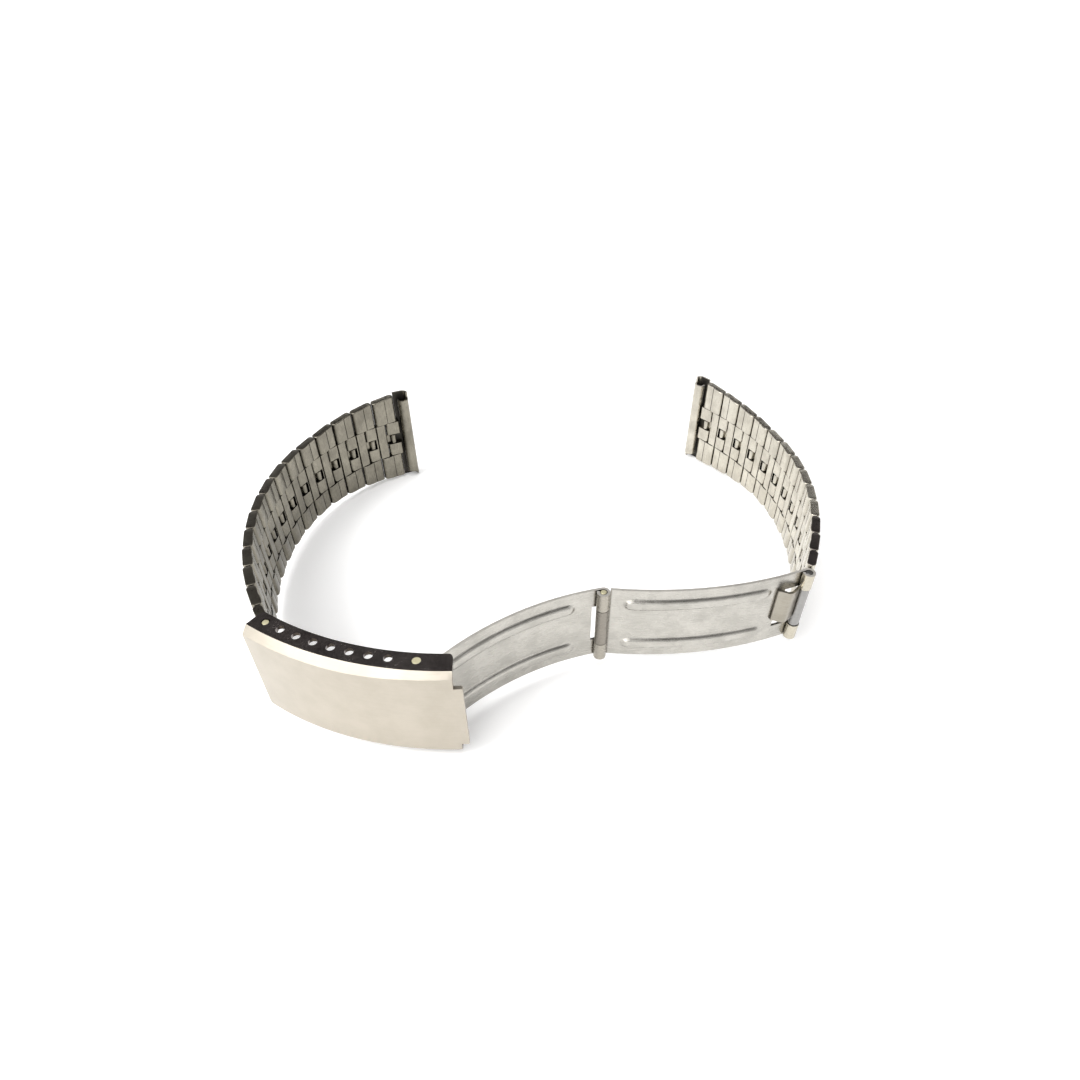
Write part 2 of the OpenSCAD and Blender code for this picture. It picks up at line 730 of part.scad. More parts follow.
clasp_cover();
cover_hinge_pin();
blade_1();
middle_hinge_pin();
blade_2();
end_pin();
left_connector();
spring_bar_barrel();
spring_bar_spring();
spring_bar_upper_tip();
spring_bar_lower_tip();
for (j = [1:left_links]) left_link(j);
left_end_piece();
right_connector();
for (j = [1:right_links]) right_link(j);
right_end_piece();
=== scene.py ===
# %% [markdown]
# A metal watch bracelet, opened out and standing on its edge. Two bands of folded steel
# links run up from a clasp: the left band from the clasp's cover, the right band from the
# end of its long blade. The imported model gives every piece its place, and this lesson
# dresses the pieces for a close look: crowned panels, rolled knuckles, pressed ribs and
# the finishes that tell one kind of steel from another.

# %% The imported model
import json
import math

import bmesh
import bpy
from mathutils import Matrix, Vector


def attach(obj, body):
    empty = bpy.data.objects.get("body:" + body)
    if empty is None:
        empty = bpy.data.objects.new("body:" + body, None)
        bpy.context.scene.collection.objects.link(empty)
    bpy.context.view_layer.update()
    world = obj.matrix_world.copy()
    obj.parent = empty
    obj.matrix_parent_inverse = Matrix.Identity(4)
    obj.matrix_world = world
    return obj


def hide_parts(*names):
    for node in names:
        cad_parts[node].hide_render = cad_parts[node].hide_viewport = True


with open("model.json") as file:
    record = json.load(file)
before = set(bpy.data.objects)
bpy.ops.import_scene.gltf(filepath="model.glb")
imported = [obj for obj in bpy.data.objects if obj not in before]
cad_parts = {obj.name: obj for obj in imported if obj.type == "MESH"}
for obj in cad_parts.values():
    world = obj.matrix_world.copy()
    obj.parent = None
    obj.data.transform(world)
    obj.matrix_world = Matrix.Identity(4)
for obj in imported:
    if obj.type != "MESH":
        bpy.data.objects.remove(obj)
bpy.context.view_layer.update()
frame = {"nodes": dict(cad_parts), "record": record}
BODY_OF = {
    node: body
    for body, nodes in frame["record"]["behaviour"]["bodies"].items()
    for node in nodes
}
MM = 0.001

# %% [markdown]
# The camera looks down at the bracelet at a steep angle from close by, which spreads the
# near cover and shrinks the far link ends. Its place was worked out from the spacing of
# the links and adjusting holes. The three directions are the columns of its matrix.

# %% The camera
CAMERA_AT = Vector((10.05, -106.23, 97.647)) * MM
CAMERA_FORWARD = Vector((-0.01082, 0.71261, -0.70148))
CAMERA_UP = Vector((-0.05472, 0.70005, 0.71200))
SENSOR_WIDTH = 36
FOCAL_LENGTH = 24.517
LENS_SHIFT = (-0.04111, 0.05318)


def add_camera():
    data = bpy.data.cameras.new("view")
    data.sensor_width = SENSOR_WIDTH
    data.lens = FOCAL_LENGTH
    data.shift_x, data.shift_y = LENS_SHIFT
    data.clip_start = 0.005
    data.clip_end = 20
    camera = bpy.data.objects.new("view", data)
    right = CAMERA_FORWARD.cross(CAMERA_UP).normalized()
    up = right.cross(CAMERA_FORWARD).normalized()
    turn = Matrix((right, up, -CAMERA_FORWARD)).transposed().to_4x4()
    camera.matrix_world = Matrix.Translation(CAMERA_AT) @ turn
    bpy.context.scene.collection.objects.link(camera)
    bpy.context.scene.camera = camera


add_camera()
print("the camera stands", round(CAMERA_AT.length / MM), "mm from the scene's origin")

# %% [markdown]
# Shader maths reads best as ordinary expressions. `Value` wraps one socket and turns an
# operator into a Math node. `Finish` is a material in the making: `node` adds any other
# node, with its settings first and then its sockets.


# %% Shader expressions
# How far the painted shade in gaps and creases reaches.
SHADE_REACH = 0.6 * MM


class Value:
    def __init__(self, finish, socket):
        self.finish = finish
        self.socket = socket

    def math(self, operation, other):
        return self.finish.node("ShaderNodeMath", {"operation": operation}, self, other)

    def __add__(self, other):
        return self.math("ADD", other)

    def __mul__(self, other):
        return self.math("MULTIPLY", other)

    __radd__ = __add__
    __rmul__ = __mul__

    def ramp(self, low, high):
        """0 at low, 1 at high, and smooth in between."""
        settings = {"interpolation_type": "SMOOTHSTEP"}
        return self.finish.node("ShaderNodeMapRange", settings, self, low, high, 0.0, 1.0)


class Finish:
    def __init__(self, name):
        self.material = bpy.data.materials.new(name)
        self.material.use_nodes = True
        self.tree = self.material.node_tree
        self.shader = self.tree.nodes["Principled BSDF"]
        self.place = self.node("ShaderNodeTexCoord", {}, out="Object")

    def node(self, kind, settings, *inputs, out=0, **named):
        made = self.tree.nodes.new(kind)
        for key, value in settings.items():
            setattr(made, key, value)
        for key, value in [*enumerate(inputs), *named.items()]:
            self.plug(made.inputs[key], value)
        return Value(self, made.outputs[out])

    def plug(self, socket, value):
        if isinstance(value, Value):
            self.tree.links.new(value.socket, socket)
        else:
            socket.default_value = value

    def put(self, name, value):
        self.plug(self.shader.inputs[name], value)

    def blend(self, share, first, second):
        """A colour between two colours."""
        made = self.tree.nodes.new("ShaderNodeMix")
        made.data_type = "RGBA"
        self.plug(made.inputs["Factor"], share)
        for socket, colour in ((made.inputs[6], first), (made.inputs[7], second)):
            self.plug(socket, colour if isinstance(colour, Value) else (*colour, 1))
        return Value(self, made.outputs[2])

    def noise(self, stretch, scale, detail, roughness=0.5):
        """Noise on the piece's own metres, finer along each axis by stretch."""
        moved = self.node("ShaderNodeMapping", {}, self.place, Scale=stretch)
        return self.node("ShaderNodeTexNoise", {}, moved, Scale=scale, Detail=detail,
                         Roughness=roughness)

    def away_from(self, at):
        """Distance from an upright line, in metres."""
        flat = self.node("ShaderNodeVectorMath", {"operation": "MULTIPLY"}, self.place, (1, 1, 0))
        settings = {"operation": "DISTANCE"}
        return self.node("ShaderNodeVectorMath", settings, flat, (at[0], at[1], 0), out="Value")

    def unshaded_share(self):
        """0 in tight gaps and creases, which are painted dark as shade, and 1 on open surfaces."""
        settings = {"samples": 4}
        shut = self.node("ShaderNodeAmbientOcclusion", settings, out="AO", Distance=SHADE_REACH)
        return shut.ramp(0.25, 0.80)

    def bump(self, height, strength, distance):
        made = self.tree.nodes.new("ShaderNodeBump")
        made.inputs["Strength"].default_value = strength
        made.inputs["Distance"].default_value = distance
        self.plug(made.inputs["Height"], height)
        self.tree.links.new(made.outputs[0], self.shader.inputs["Normal"])


# %% [markdown]
# Steel looks different by how it was worked. Rolled sheet keeps a satin skin with faint
# clouds. A brushed face has fine straight scratches, so its noise is stretched a
# hundredfold along the stroke. All finishes here are fully metallic, and differ in colour,
# in roughness and in the direction of the scratches.


# %% Steel finishes
# The colour of the painted shade in gaps and creases.
CREASE_SHADE = (0.030, 0.027, 0.024)
CLOUD_SCALE = 260.0
CLOUD_SHARE = 0.6
SCRATCH_GLOSS = 0.16
CLOUD_GLOSS = 0.10
SCRATCH_STRENGTH = 0.25
SCRATCH_DEPTH = 0.02 * MM
MEAN_NOISE = 0.5


def steel(name, colour, shade, roughness, strokes, tints=()):
    """Satin steel: strokes stretches its scratches, colour and shade are its two tones.

    Each tint is a place, a radius and a colour, blended in round that place."""
    finish = Finish(name)
    clouds = finish.noise((1, 1, 1), CLOUD_SCALE, 4.0, 0.6)
    scratches = finish.noise(strokes, 1.0, 3.0, 0.65)
    mixed = clouds * CLOUD_SHARE + scratches * (1 - CLOUD_SHARE)
    tone = mixed.ramp(0.35, 0.65)
    clean = finish.blend(tone, shade, colour)
    for at, radius, tint in tints:
        clean = finish.blend(finish.away_from(at).ramp(radius * 0.9, radius * 1.2), tint, clean)
    # Gaps and creases are painted dark as shade, found by ambient occlusion.
    finish.put("Base Color", finish.blend(finish.unshaded_share(), CREASE_SHADE, clean))
    finish.put("Metallic", 1.0)
    base = roughness - (SCRATCH_GLOSS + CLOUD_GLOSS) * MEAN_NOISE
    finish.put("Roughness", scratches * SCRATCH_GLOSS + clouds * CLOUD_GLOSS + base)
    finish.bump(scratches, SCRATCH_STRENGTH, SCRATCH_DEPTH)
    return finish.material


# %% [markdown]
# Each kind of piece gets its own steel. The cover is brushed along its length and has an
# ivory cast. The left band is the same steel as the right one, painted darker as shade. Side
# plates and the sheet behind the rolled ends are painted dark as shade, pins are golden wire,
# and the ends of the links near the clasp are painted dark as shade. Colours come in pairs,
# and the clouds mix the two. Strokes give the noise's fineness along X, Y and Z, so
# scratches run the way where it is lowest.

# %% The finishes of this bracelet
ALONG_COVER = (400, 400, 24000)
ACROSS_BAND = (9000, 9000, 900)
ALONG_SHEET = (500, 500, 9000)
ALONG_WIRE = (9000, 9000, 3000)
FINE_GRAIN = (3000, 3000, 3000)
COARSE_GRAIN = (900, 900, 900)

IVORY = ((0.45, 0.413, 0.353), (0.40, 0.365, 0.307))
# One steel in two copies: the left band's is painted darker as shade, the right band's is the lit
# one.
SHADED_BAND = ((0.27, 0.252, 0.205), (0.165, 0.153, 0.125))
LIT_BAND = ((0.59, 0.56, 0.485), (0.40, 0.372, 0.318))
# Ends of the links near the clasp, painted dark as shade.
LEFT_ENDS_SHADE = ((0.14, 0.13, 0.105), (0.10, 0.09, 0.075))
RIGHT_ENDS_SHADE = ((0.12, 0.103, 0.096), (0.08, 0.07, 0.065))
# A near-black colour that paints shade on the sheet behind the rolled ends.
SHADOWED_SHEET = ((0.075, 0.07, 0.06), (0.035, 0.033, 0.03))
STRAP = ((0.36, 0.335, 0.285), (0.27, 0.25, 0.21))
TUBE = ((0.32, 0.315, 0.305), (0.25, 0.245, 0.24))
# Side plates: the cover's steel painted darker as shade, on top of the dark room that they mirror.
FLANGE = ((0.26, 0.235, 0.225), (0.20, 0.18, 0.175))
GOLD = ((0.90, 0.85, 0.58), (0.72, 0.66, 0.45))

cover_finish = steel("brushed ivory cover", *IVORY, 0.34, ALONG_COVER)
left_shaded_finish = steel("satin links in painted shade", *SHADED_BAND, 0.26, ACROSS_BAND)
right_lit_finish = steel("satin links in painted light", *LIT_BAND, 0.26, ACROSS_BAND)
shadowed_sheet_finish = steel("sheet in painted shade", *SHADOWED_SHEET, 0.5, COARSE_GRAIN)
left_ends_shade_finish = steel("folded ends in painted shade, left", *LEFT_ENDS_SHADE, 0.30, FINE_GRAIN)
right_ends_shade_finish = steel("folded ends in painted shade, right", *RIGHT_ENDS_SHADE, 0.30, FINE_GRAIN)
catch_finish = steel("spring strap", *STRAP, 0.32, ALONG_SHEET)
tube_finish = steel("drawn tube", *TUBE, 0.30, ALONG_SHEET)
shaded_flange_finish = steel("side plates in painted shade", *FLANGE, 0.24, FINE_GRAIN)
pin_finish = steel("golden pin wire", *GOLD, 0.45, ALONG_WIRE)
print("finishes:", [each.name for each in bpy.data.materials if each.users == 0])

# %% [markdown]
# Every piece is drawn in its own millimetres, with X along the band, Y through it and Z
# across it, and is put in its place later. Modelling by hand would do for one link, but
# there are 26, so a few helpers make blocks, rods and rounded edges from numbers.

# %% Shapes in millimetres
def block(x, y, z):
    """A block between two corners, each given as (low, high) along one axis."""
    bm = bmesh.new()
    bmesh.ops.create_cube(bm, size=1)
    size = [b - a for a, b in (x, y, z)]
    middle = [(a + b) / 2 for a, b in (x, y, z)]
    place = Matrix.Translation(middle) @ Matrix.Diagonal((*size, 1))
    bmesh.ops.transform(bm, matrix=place, verts=bm.verts)
    return bm


def runs_along(edge, axis):
    direction = (edge.verts[1].co - edge.verts[0].co).normalized()
    return abs(direction[axis]) > 0.9


def ease(bm, edges, offset, segments):
    bmesh.ops.bevel(bm, geom=edges, offset=offset, offset_type="OFFSET", segments=segments,
                    profile=0.5, affect="EDGES", material=-1, clamp_overlap=True)


def cut(bm, axis, *places):
    """Adds a loop of edges where a plane across the axis meets the shape."""
    for place in places:
        at = Vector([place if i == axis else 0 for i in range(3)])
        across = Vector([1 if i == axis else 0 for i in range(3)])
        bmesh.ops.bisect_plane(bm, geom=bm.verts[:] + bm.edges[:] + bm.faces[:], dist=1e-5,
                               plane_co=at, plane_no=across)


def rod(at, radius, z, segments):
    """A round rod along Z, between two heights."""
    bm = bmesh.new()
    place = Matrix.Translation((*at, (z[0] + z[1]) / 2))
    bmesh.ops.create_cone(bm, cap_ends=True, segments=segments, radius1=radius,
                          radius2=radius, depth=z[1] - z[0], matrix=place)
    return bm


def flipped(bm):
    """A mirror image across the middle plane, with its faces pointing outwards again."""
    other = bm.copy()
    bmesh.ops.scale(other, vec=(1, 1, -1), verts=other.verts)
    bmesh.ops.reverse_faces(other, faces=other.faces)
    return other


def joined(*shells):
    whole = bmesh.new()
    for shell in shells:
        mesh = bpy.data.meshes.new("shell")
        shell.to_mesh(mesh)
        shell.free()
        whole.from_mesh(mesh)
        bpy.data.meshes.remove(mesh)
    return whole


# %% [markdown]
# Blades, end plates and the strap are cut from flat sheet and then bent, so they are made
# the same way here. A flat grid is cut to outline, each point is bent into place, and the
# skin gets its thickness last. Extruding an outline along a curve would also work, but then
# slots and tabs would need booleans.


# %% Sheet metal
def blank(u, v, keep, bend, thickness):
    """Sheet metal: a flat grid with lines at u and v is cut to outline, bent and thickened.

    bend(u, v) gives the place of the middle of the sheet."""
    bm = bmesh.new()
    bmesh.ops.create_grid(bm, x_segments=len(u) - 1, y_segments=len(v) - 1, size=1)
    for vert in bm.verts:
        i = round((vert.co.x + 1) / 2 * (len(u) - 1))
        j = round((vert.co.y + 1) / 2 * (len(v) - 1))
        vert.co = (u[i], v[j], 0)
    waste = [f for f in bm.faces if not keep(*f.calc_center_median().xy)]
    bmesh.ops.delete(bm, geom=waste, context="FACES")
    for vert in bm.verts:
        vert.co = bend(*vert.co.xy)
    bm.normal_update()
    for vert in bm.verts:
        vert.co += vert.normal * thickness / 2
    bmesh.ops.solidify(bm, geom=bm.verts[:] + bm.edges[:] + bm.faces[:], thickness=thickness)
    bmesh.ops.recalc_face_normals(bm, faces=bm.faces)
    return bm


def steps(low, high, count):
    return [low + (high - low) * i / count for i in range(count + 1)]


def lines(*stops, widest):
    """Grid lines through the stops, with no cell wider than the widest."""
    made = [stops[0]]
    for low, high in zip(stops, stops[1:]):
        count = max(1, math.ceil((high - low) / widest - 1e-6))
        made += steps(low, high, count)[1:]
    return made


def open_edges(bm):
    return sum(len(edge.link_faces) != 2 for edge in bm.edges)


def show_size(name, bm):
    """Prints a shape's size and lets the shape go."""
    spans = [[vert.co[i] for vert in bm.verts] for i in range(3)]
    size = [round(max(span) - min(span), 2) for span in spans]
    print(name, "is", size, "mm, with", len(bm.faces), "faces and", open_edges(bm), "open edges")
    bm.free()


show_size("a flat strip",
          blank([0, 1, 2], [0, 1], lambda u, v: True, lambda u, v: (u, v, 0), 0.2))


# %% [markdown]
# A bracelet is a chain: each link starts where the one before it ends, turned by a few
# degrees. Walking along both bands gives each link its frame, so a detailed piece lands
# exactly on the solid that it stands for. Placing 26 links by hand would be slow and never
# quite true. The bends change smoothly from the clasp to the watch end.

# %% Where the pieces are
HINGE_AT = Vector((-13.8, -40.88, 10.0))
HOLE_ARC = 50.0
HOLES = 8
HOLE_STEP = 2.85
HINGE_STEP = 4.0
LINK_PITCH = 4.8
LEFT_LINKS = 14
RIGHT_LINKS = 12

# Length from hinge to hinge, and heading in degrees.
BLADE_1 = (31.0, 34.4)
BLADE_2 = (34.2, 12.2)

# Length of the half link, its heading, and the bends at the clasp, midway and at the watch.
LEFT_START = (4.2, 127.0, (4.7, 6.1, 9.8))
RIGHT_START = (4.05, 72.6, (2.8, 6.0, 4.0))


def way(angle):
    return Vector((math.cos(math.radians(angle)), math.sin(math.radians(angle)), 0))


def on_hole_arc(s, radius=HOLE_ARC):
    """A place on the cover's arc, or on another radius, by its run from the hinge."""
    turn = s / HOLE_ARC
    return Vector((radius * math.sin(turn), HOLE_ARC - radius * math.cos(turn), 0))


def hole_run(i):
    """Run from the hinge to an adjusting hole, counted from the far end."""
    return -HINGE_STEP - (HOLES - 1 - i) * HOLE_STEP


def frame_at(place, angle, upside_down=False):
    """From a piece's own millimetres to the scene's metres."""
    turn = Matrix.Rotation(math.radians(angle), 4, "Z")
    if upside_down:
        turn = turn @ Matrix.Rotation(math.pi, 4, "X")
    return Matrix.Scale(MM, 4) @ Matrix.Translation(HINGE_AT + place) @ turn


def band_frames(place, start, count, sign):
    """Frames of the connector, the links and the end piece of one band."""
    step, angle, (first, middle, last) = start
    frames = [frame_at(place, angle, sign > 0)]
    for j in range(1, count + 2):
        place = place + (step if j == 1 else LINK_PITCH) * way(angle)
        s = (j - 1) / count
        bend = (first * (1 - s) * (1 - 2 * s) + 4 * middle * s * (1 - s)
                + last * s * (2 * s - 1))
        angle += sign * bend
        frames.append(frame_at(place, angle, sign > 0))
    return frames


middle_place = BLADE_1[0] * way(BLADE_1[1])
end_place = middle_place + BLADE_2[0] * way(BLADE_2[1])
first_hole = on_hole_arc(hole_run(0))
cover_frame = frame_at(Vector(), 0)
blade_1_frame = frame_at(Vector(), BLADE_1[1])
blade_2_frame = frame_at(middle_place, BLADE_2[1])
left_frames = band_frames(first_hole, LEFT_START, LEFT_LINKS, -1)
right_frames = band_frames(end_place, RIGHT_START, RIGHT_LINKS, 1)
print("left band ends at", left_frames[-1].translation, "and right at",
      right_frames[-1].translation)

# %% [markdown]
# A real link is folded from thin strip. Its outer rows are flat tubes with a seam, crowned
# a little by the folding. Bent sheet would show the same outside with many more faces, so
# a row is a block with rounded edges, a groove for the seam and a low arch on each panel.

# %% The folded rows of a link
# Half the thickness, half the width of the middle bars, and the ends of an outer row.
HALF_T = 0.75
MID = 3.9
ROW = (1.4, 6.05)
ROW_GAP = 0.1
ROW_EASE = 0.55
ROW_RIM = 0.14
PANEL_IN = 0.45
HIGH_CROWN = 0.12
LOW_CROWN = 0.03
SEAM = 0.07
SEAM_AT = ROW[1] - 0.45 * (ROW[1] - ROW[0])
SEAM_DEPTH = 0.12
SEAM_WALL = 0.012


def crown(bm, low, high, rise):
    """Raises a panel's wrist side between two places into a shallow arch."""
    for vert in bm.verts:
        x = vert.co.x
        if vert.co.y < 0 and low < x < high:
            s = (2 * x - low - high) / (high - low)
            vert.co.y += rise * (1 - s * s) * vert.co.y / HALF_T


def groove(bm, at):
    """Sinks the strip between two close cuts on the wrist side."""
    floor = [f for f in bm.faces
             if f.normal.y < -0.5 and abs(f.calc_center_median().x - at) < SEAM / 2]
    bmesh.ops.inset_region(bm, faces=floor, thickness=SEAM_WALL, depth=0,
                           use_even_offset=True)
    for vert in {v for f in floor for v in f.verts}:
        vert.co.y += SEAM_DEPTH


def outer_row(near_w, far_w):
    """One folded shell at the band's edge: two crowned panels with a seam between."""
    bm = block(ROW, (-HALF_T, HALF_T), (MID + ROW_GAP, far_w))
    outside = MID + 1
    for vert in bm.verts:
        if vert.co.z > outside:
            share = (vert.co.x - ROW[0]) / (ROW[1] - ROW[0])
            vert.co.z = near_w + (far_w - near_w) * share
    ease(bm, [e for e in bm.edges if runs_along(e, 2)], ROW_EASE, 5)
    rim = [e for e in bm.edges if all(v.co.z > outside for v in e.verts)]
    ease(bm, rim, ROW_RIM, 3)
    first = (ROW[0] + PANEL_IN, SEAM_AT - SEAM)
    last = (SEAM_AT + SEAM, ROW[1] - PANEL_IN)
    cut(bm, 0, *steps(*first, 6)[1:], *steps(*last, 3)[:-1])
    crown(bm, ROW[0], first[1], HIGH_CROWN)
    crown(bm, last[0], ROW[1], LOW_CROWN)
    bm.normal_update()
    groove(bm, SEAM_AT)
    return bm


show_size("a folded row", outer_row(8, 8))

# %% [markdown]
# Down the middle of the band each link has two bars. The wide one holds the hinge pin and
# has a window, where the next link's eye shows. Close pairs of cuts give the window steep
# walls, and the points between them move back. A boolean would cut the same hole, but with
# long thin faces round it that spoil the shading.


# %% The middle bars
BAR = (-1.3, 1.3)
NARROW_BAR = (1.3, 3.35)
BAR_EASE = 0.5
BAR_RIM = 0.08
NEAR_EASE = 0.15
WINDOW = 1.15
WINDOW_END = 0.8
WINDOW_FLOOR = 0.45
STEEP = 0.01


def bar_rims(bm):
    """The edges round both end faces of a bar."""
    return [e for e in bm.edges
            if not runs_along(e, 2) and all(abs(v.co.z) > MID - 0.01 for v in e.verts)]


def wide_bar(far=BAR[1], window_end=WINDOW_END):
    """The middle row's hinge bar, with a window open to the next link's eye."""
    bm = block((BAR[0], far), (-HALF_T, HALF_T), (-MID, MID))
    ease(bm, [e for e in bm.edges if runs_along(e, 2)], BAR_EASE, 5)
    ease(bm, bar_rims(bm), BAR_RIM, 2)
    cut(bm, 2, -WINDOW - STEEP, -WINDOW, WINDOW, WINDOW + STEEP)
    cut(bm, 0, window_end, window_end + STEEP)
    for vert in bm.verts:
        if abs(vert.co.z) < WINDOW + STEEP / 2 and vert.co.x < window_end + STEEP / 2:
            vert.co.y = max(vert.co.y, WINDOW_FLOOR)
    return bm


def narrow_bar():
    """The bar beside the hinge bar, less rounded where the two meet."""
    bm = block(NARROW_BAR, (-HALF_T, HALF_T), (-MID, MID))
    for at, width, segments in ((NARROW_BAR[1], BAR_EASE, 5), (NARROW_BAR[0], NEAR_EASE, 3)):
        edges = [e for e in bm.edges if runs_along(e, 2) and abs(e.verts[0].co.x - at) < 0.01]
        ease(bm, edges, width, segments)
    ease(bm, bar_rims(bm), BAR_RIM, 2)
    return bm


show_size("the wide bar", wide_bar())
show_size("the narrow bar", narrow_bar())

# %% [markdown]
# A tongue of the carrying strip is rolled into an eye round the next link's pin. Rolled
# sheet could be bent as the blades are, but only the round front shows in the window, so
# a rod with eased rims and a flat tongue stand for the roll.


# %% The eye and its pin
EYE = 0.95
EYE_R = 0.6
EYE_EASE = 0.05
TONGUE_Y = (0.02, 0.32)
TONGUE_START = 3.0
PIN_Y = -0.15
PIN_R = 0.3
PIN_IN = 0.05


def eye(hinge, start=TONGUE_START):
    """The strip's tongue and the eye that it is rolled into, round the next pin."""
    tongue = block((start, hinge), TONGUE_Y, (-EYE, EYE))
    ease(tongue, [e for e in tongue.edges if runs_along(e, 0)], EYE_EASE, 2)
    ring = rod((hinge, PIN_Y), EYE_R, (-EYE, EYE), 20)
    ease(ring, [e for e in ring.edges if not runs_along(e, 2)], EYE_EASE, 2)
    return joined(tongue, ring)


def pin():
    return rod((0.0, PIN_Y), PIN_R, (PIN_IN - MID, MID - PIN_IN), 16)


show_size("an eye", eye(LINK_PITCH))

# %% [markdown]
# The band widens towards the watch: its last five links grow from 16 to 20 mm, so a link
# is made from its number. The parts are joined as loose shells, as the real ones are loose
# pieces, and the folded ends take a second finish, which near the clasp paints them dark as shade.


# %% The whole link
NARROW_HALF = 8
WATCH_HALF = 10
WIDENING_LINKS = 5
STRIP_IN = 0.5
STRIP_X = (1.7, 3.1)
STRIP_Y = (0.3, 0.5)


def half_width(k):
    """Half the band's width, k links from the watch end."""
    return NARROW_HALF + (WATCH_HALF - NARROW_HALF) * max(0, 1 - k / WIDENING_LINKS)


def ends_marked(bm, height):
    """The folded ends beyond a height take the second finish."""
    bm.normal_update()
    for face in bm.faces:
        if abs(face.normal.z) > 0.6 and abs(face.calc_center_median().z) > height:
            face.material_index = 1
    return bm


def link(k):
    """Both rows and both bars on their strip, with the eye and the pin."""
    row = outer_row(half_width(k + 1), half_width(k))
    w = half_width(k + 1) - STRIP_IN
    strip = block(STRIP_X, STRIP_Y, (-w, w))
    whole = joined(row.copy(), flipped(row), wide_bar(), narrow_bar(), strip, eye(LINK_PITCH),
                   pin())
    return ends_marked(whole, w)


show_size("a link", link(9))

# %% [markdown]
# At the watch end a plate is rolled into a tube for the watch's spring bar. It is one blank
# of sheet, with a narrow tab, a wide plate and a roll whose lip is notched at both edges. A
# spun ring would be simpler, but the notch and the tab come free with a blank. Faces behind
# the roll are painted dark as shade, and the cut rims can take a finish of their own.

# %% The rolled ends
LUG_W = 10.0
LUG_AT = (3.2, -0.4)
LUG_MID = 0.975
LUG_SHEET = 0.35
LUG_NOTCH = 8.7
LUG_ROLL = 290
FULL_WIDTH_ROLL = 1.6
TAB_START = 0.6
TAB_LENGTH = 0.8
PLATE_Y = 0.575
LONG_BAR_END = 1.75
LONG_WINDOW_END = 2.0


def end_plate():
    """One blank: a narrow tab, the wide plate, and its roll round the watch's spring bar."""
    flat = LUG_AT[0] - TAB_START
    notch = flat + FULL_WIDTH_ROLL
    rolled = math.radians(LUG_ROLL) * LUG_MID
    u = lines(0, TAB_LENGTH, flat, notch, flat + rolled, widest=0.3)
    v = lines(-LUG_W, -LUG_NOTCH, -MID, MID, LUG_NOTCH, LUG_W, widest=1.6)

    def keep(u, v):
        if u < TAB_LENGTH:
            return abs(v) < MID
        return abs(v) < LUG_NOTCH or u < notch

    def bend(u, v):
        if u < flat:
            return TAB_START + u, PLATE_Y, v
        turn = math.pi / 2 - (u - flat) / LUG_MID
        return LUG_AT[0] + LUG_MID * math.cos(turn), LUG_AT[1] + LUG_MID * math.sin(turn), v

    bm = blank(u, v, keep, bend, LUG_SHEET)
    for face in bm.faces:
        # Faces behind the roll take the second finish, which paints them dark as shade.
        if face.normal.y < -0.5 and face.calc_center_median().y > 0.3:
            face.material_index = 1
        if abs(face.normal.z) > 0.9 and abs(face.calc_center_median().z) > LUG_NOTCH - 0.1:
            face.material_index = 2
    return bm


def end_piece():
    """The last hinge bar reaches over the gap, and its window is open towards the roll."""
    return joined(wide_bar(LONG_BAR_END, LONG_WINDOW_END), end_plate(), pin())


show_size("a rolled end", end_piece())

# %% [markdown]
# Each band starts with half a link on a round tube. The left tube turns on the spring bar in
# the cover, and the right one on the long blade's pin. The tube is a piece of its own, so
# that it can have its own finish. The neck starts inside it, clear of the bar's sprung tips.


# %% The half links
TUBE_R = 0.95
TUBE_RIM = 0.08
NECK_START = 0.65
NECK_THIN = 0.02
NECK_LAP = 0.6
HALF_ROW_EASE = 0.72
TONGUE_LAP = 0.4
ROW_PAST_HINGE = 1.25
SEAM_BEFORE_HINGE = 0.75

# Half the tube's length, and where the rows start. The left tube nearly fills the cover.
LEFT_HALF_LINK = (8.55, 1.2)
RIGHT_HALF_LINK = (4.18, 1.32)


def half_row(x, seam):
    """A folded row of a half link. Its near edges are well rounded, to pass the blade."""
    bm = block(x, (-HALF_T, HALF_T), (MID + ROW_GAP, NARROW_HALF))
    for near, width in ((False, ROW_EASE), (True, HALF_ROW_EASE)):
        edges = [e for e in bm.edges
                 if runs_along(e, 2) and (e.verts[0].co.x < x[0] + 0.1) == near]
        ease(bm, edges, width, 5)
    rim = [e for e in bm.edges if all(v.co.z > NARROW_HALF - 0.1 for v in e.verts)]
    ease(bm, rim, ROW_RIM, 3)
    cut(bm, 0, seam - SEAM, seam + SEAM)
    bm.normal_update()
    groove(bm, seam)
    return bm


def connector_tube(half):
    """The round tube that turns on a spring bar or a pin."""
    tube = rod((0, 0), TUBE_R, (-half, half), 32)
    ease(tube, [e for e in tube.edges if not runs_along(e, 2)], TUBE_RIM, 2)
    return tube


def connector(tube_half, start, hinge):
    """Half a link, which starts from a neck on the tube."""
    bar = hinge - (LINK_PITCH - NARROW_BAR[1])
    side = half_row((start, hinge + ROW_PAST_HINGE), hinge - SEAM_BEFORE_HINGE)
    mid = MID + ROW_GAP / 2
    middle = block((NECK_START, bar), (-HALF_T, HALF_T), (-mid, mid))
    far = [e for e in middle.edges if runs_along(e, 2) and e.verts[0].co.x > bar - 0.1]
    ease(middle, far, BAR_EASE, 5)
    reach = min(tube_half, NARROW_HALF - 0.1)
    half_t = HALF_T - NECK_THIN
    neck = block((NECK_START, start + NECK_LAP), (-half_t, half_t), (-reach, reach))
    whole = joined(side.copy(), flipped(side), middle, neck, eye(hinge, bar - TONGUE_LAP))
    return ends_marked(whole, NARROW_HALF - STRIP_IN)


show_size("a half link", connector(*RIGHT_HALF_LINK, RIGHT_START[0]))

# %% [markdown]
# The cover is a channel with a brushed face and a polished bevel at each edge. Its section
# is the same all along, so it is spun round the centre of its arc, which a curve with a
# bevel profile could also do. The upper bevel was ground by hand and narrows towards the
# hinge end, so one row of points moves outwards there.

